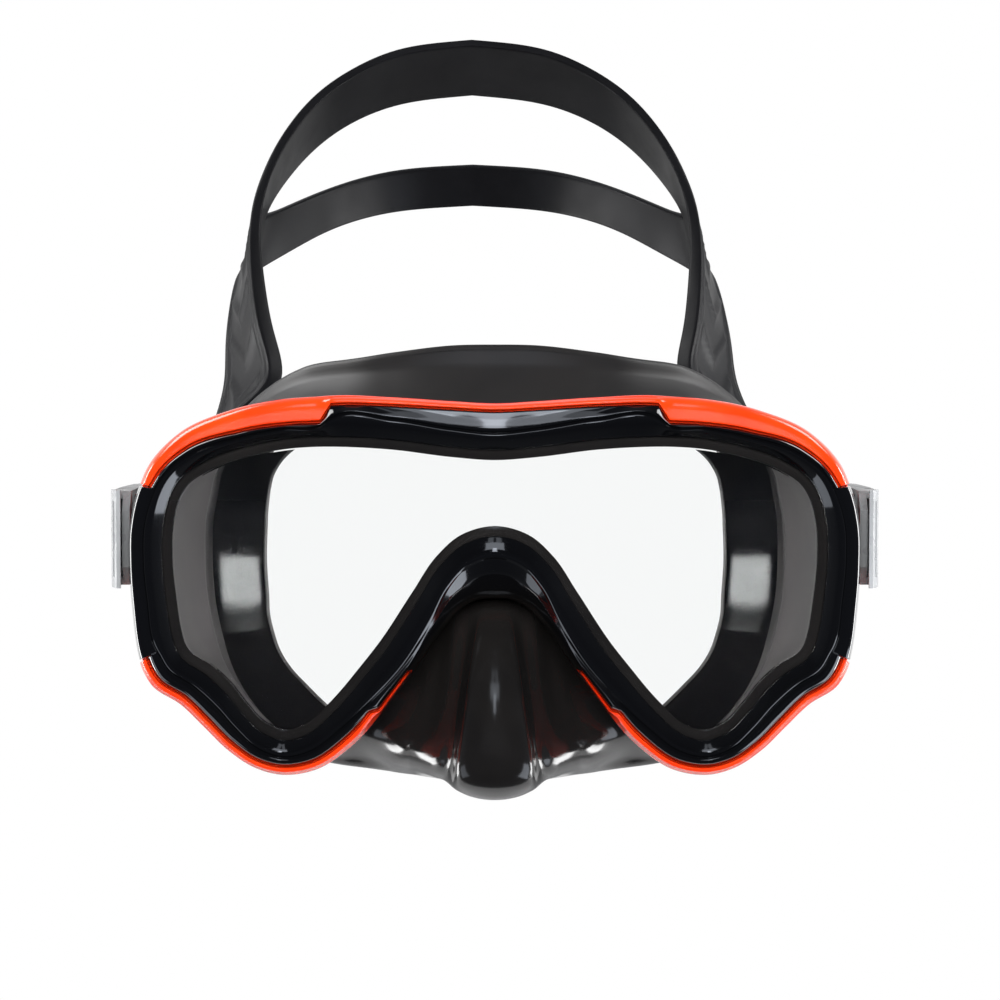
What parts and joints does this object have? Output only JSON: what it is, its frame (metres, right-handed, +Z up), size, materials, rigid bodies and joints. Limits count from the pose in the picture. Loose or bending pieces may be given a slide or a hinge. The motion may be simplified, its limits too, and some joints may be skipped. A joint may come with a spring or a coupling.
{
  "type": "diving mask",
  "caption": "Single-window diving mask: flat lens in a red and black frame, soft skirt with nose pocket, split strap on swinging side buckles.",
  "frame": {"origin": "on the flat front face of the lens, in the plane of symmetry, level with the middle of the view", "axes": "+X to the wearer's left, +Y from the lens towards the wearer's face, +Z up"},
  "size_m": [0.1804, 0.1781, 0.1938],
  "materials": {
    "tempered_glass": "clear polished",
    "black_silicone": "glossy moulded",
    "strap_silicone": "satin moulded",
    "red_polycarbonate": "gloss",
    "gloss_black_polycarbonate": "high gloss",
    "satin_grey_polycarbonate": "satin",
    "smoke_grey_polycarbonate": "satin",
    "black_nylon": "satin",
    "stainless_steel": "satin"
  },
  "bodies": {
    "mask": {"lens": "tempered_glass", "skirt": "black_silicone", "frame_shell": "red_polycarbonate", "bezel": "gloss_black_polycarbonate", "side_lug_left": "black_nylon", "lug_screw_left_low": "stainless_steel", "lug_screw_left_high": "stainless_steel", "pivot_pin_left": "stainless_steel", "side_lug_right": "black_nylon", "lug_screw_right_low": "stainless_steel", "lug_screw_right_high": "stainless_steel", "pivot_pin_right": "stainless_steel"},
    "strap_assembly": {"strap": "strap_silicone", "buckle_body_left": "smoke_grey_polycarbonate", "lever_pin_left": "stainless_steel", "lever_spring_left": "stainless_steel", "buckle_body_right": "smoke_grey_polycarbonate", "lever_pin_right": "stainless_steel", "lever_spring_right": "stainless_steel"},
    "lever_left": {"release_lever_left": "satin_grey_polycarbonate"},
    "roller_left": {"strap_roller_left": "stainless_steel"},
    "keeper_left": {"strap_keeper_left": "strap_silicone"},
    "lever_right": {"release_lever_right": "satin_grey_polycarbonate"},
    "roller_right": {"strap_roller_right": "stainless_steel"},
    "keeper_right": {"strap_keeper_right": "strap_silicone"}
  },
  "joints": [
    {"name": "strap_swing", "type": "hinge", "parent": "mask", "child": "strap_assembly", "pos_m": [0, 0.018, -0.0084], "axis": [1, 0, 0], "range_deg": [-55, 40]},
    {"name": "lever_left_press", "type": "hinge", "parent": "strap_assembly", "child": "lever_left", "pos_m": [0.0883, 0.02, -0.0083], "axis": [0, 0.0523, -0.9986], "range_deg": [0, 5], "stiffness_Nm_per_rad": 0.2, "springref_deg": -2.86},
    {"name": "roller_left_turn", "type": "hinge", "parent": "strap_assembly", "child": "roller_left", "pos_m": [0.083, 0.04197, -0.00714], "axis": [0, -0.0523, 0.9986], "continuous": true},
    {"name": "keeper_left_slide", "type": "slide", "parent": "strap_assembly", "child": "keeper_left", "axis": [0, 0.9986, 0.0523], "range_m": [-0.0022, 0.0022]},
    {"name": "lever_right_press", "type": "hinge", "parent": "strap_assembly", "child": "lever_right", "pos_m": [-0.0883, 0.02, -0.0083], "axis": [0, -0.0523, 0.9986], "range_deg": [0, 5], "stiffness_Nm_per_rad": 0.2, "springref_deg": -2.86},
    {"name": "roller_right_turn", "type": "hinge", "parent": "strap_assembly", "child": "roller_right", "pos_m": [-0.083, 0.04197, -0.00714], "axis": [0, -0.0523, 0.9986], "continuous": true},
    {"name": "keeper_right_slide", "type": "slide", "parent": "strap_assembly", "child": "keeper_right", "axis": [0, 0.9986, 0.0523], "range_m": [-0.0022, 0.0022]}
  ]
}
